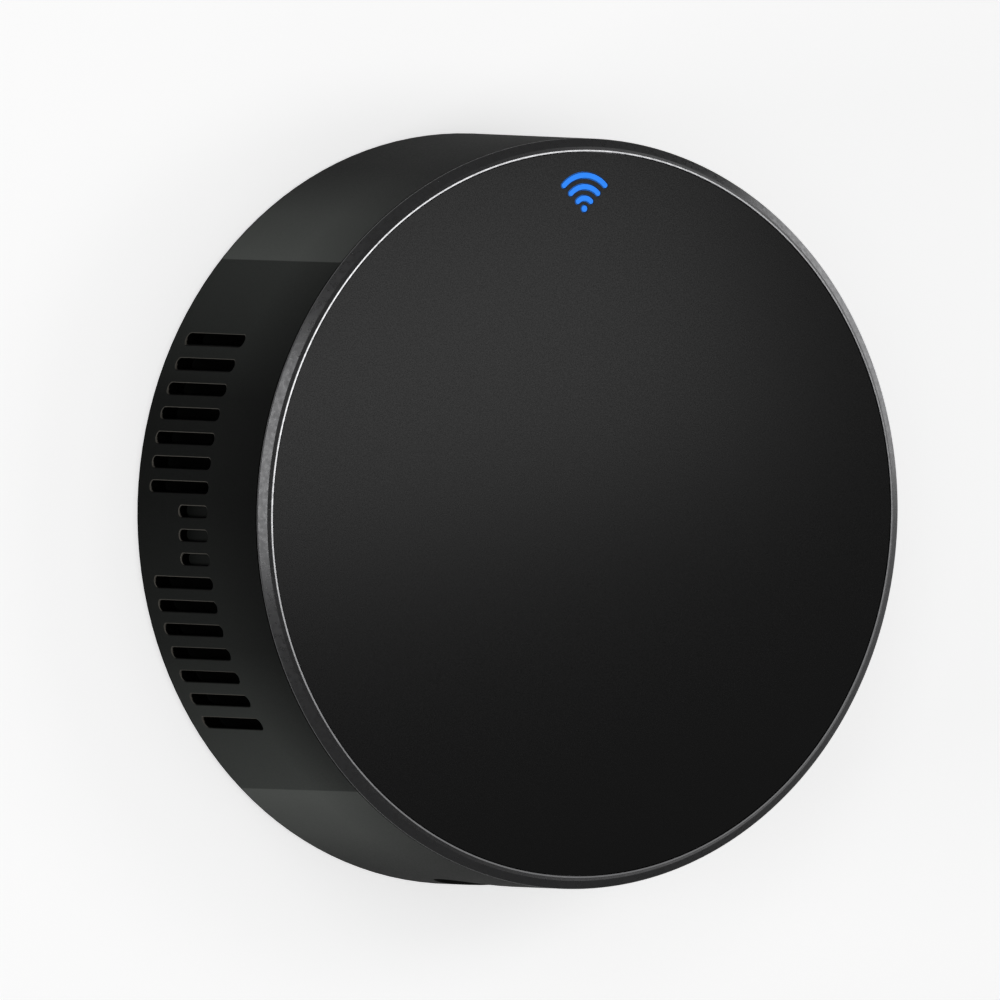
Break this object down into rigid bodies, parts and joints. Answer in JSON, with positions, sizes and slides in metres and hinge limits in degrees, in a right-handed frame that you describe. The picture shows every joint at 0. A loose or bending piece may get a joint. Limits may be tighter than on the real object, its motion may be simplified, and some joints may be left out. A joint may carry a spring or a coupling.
{
  "type": "infrared remote hub",
  "caption": "Round infrared remote hub: flat puck with a satin face, a chamfered bezel ring, a row of side vents, a power socket and a reset button.",
  "frame": {"origin": "middle of the foot ring's underside", "axes": "+Z out of the face, +Y towards the signal symbol at the top of the face; the vents are at -X and the power socket at -Y"},
  "size_m": [0.066, 0.066, 0.0217],
  "materials": {
    "shell_plastic": "fine satin texture, darker polished window around the vents",
    "bezel": "dark grey satin with a bright inner edge",
    "face_plastic": "very fine matt grain, infrared-clear",
    "symbol_blue": "smooth, lit from behind",
    "adhesive": "foam tape",
    "black_plastic": "moulded",
    "foot_rubber": "matt",
    "screw_steel": "zinc plated",
    "board_green": "solder mask",
    "board_blue": "solder mask",
    "can_steel": "tinned sheet",
    "led_resin": "clear tinted resin",
    "receiver_resin": "dark resin",
    "socket_steel": "plated sheet",
    "plunger_plastic": "moulded",
    "chip_ceramic": "smooth",
    "pin_brass": "plated",
    "cap_aluminium": "drawn can"
  },
  "bodies": {
    "hub": {"housing_shell": "shell_plastic", "bezel_ring": "bezel", "face_panel": "face_plastic", "panel_adhesive": "adhesive", "signal_lens": "symbol_blue", "light_baffle": "black_plastic", "status_led": "led_resin", "rear_cover": "black_plastic", "foot_ring": "foot_rubber", "cover_screws": "screw_steel", "main_board": "board_green", "board_screws": "screw_steel", "radio_board": "board_blue", "shield_can": "can_steel", "side_emitters": "led_resin", "front_emitters": "led_resin", "ir_receiver": "receiver_resin", "socket_shell": "socket_steel", "socket_tongue": "black_plastic", "switch_body": "black_plastic", "sensor_board": "board_green", "sensor_chip": "chip_ceramic", "sensor_pins": "pin_brass", "power_capacitor": "cap_aluminium", "voltage_regulator": "black_plastic", "driver_transistors": "black_plastic"},
    "button": {"reset_button": "black_plastic", "switch_plunger": "plunger_plastic"}
  },
  "joints": [
    {"name": "reset_press", "type": "slide", "parent": "hub", "child": "button", "axis": [-0.3333, 0.9428, 0], "range_m": [0, 0.00025], "stiffness_N_per_m": 1500}
  ]
}
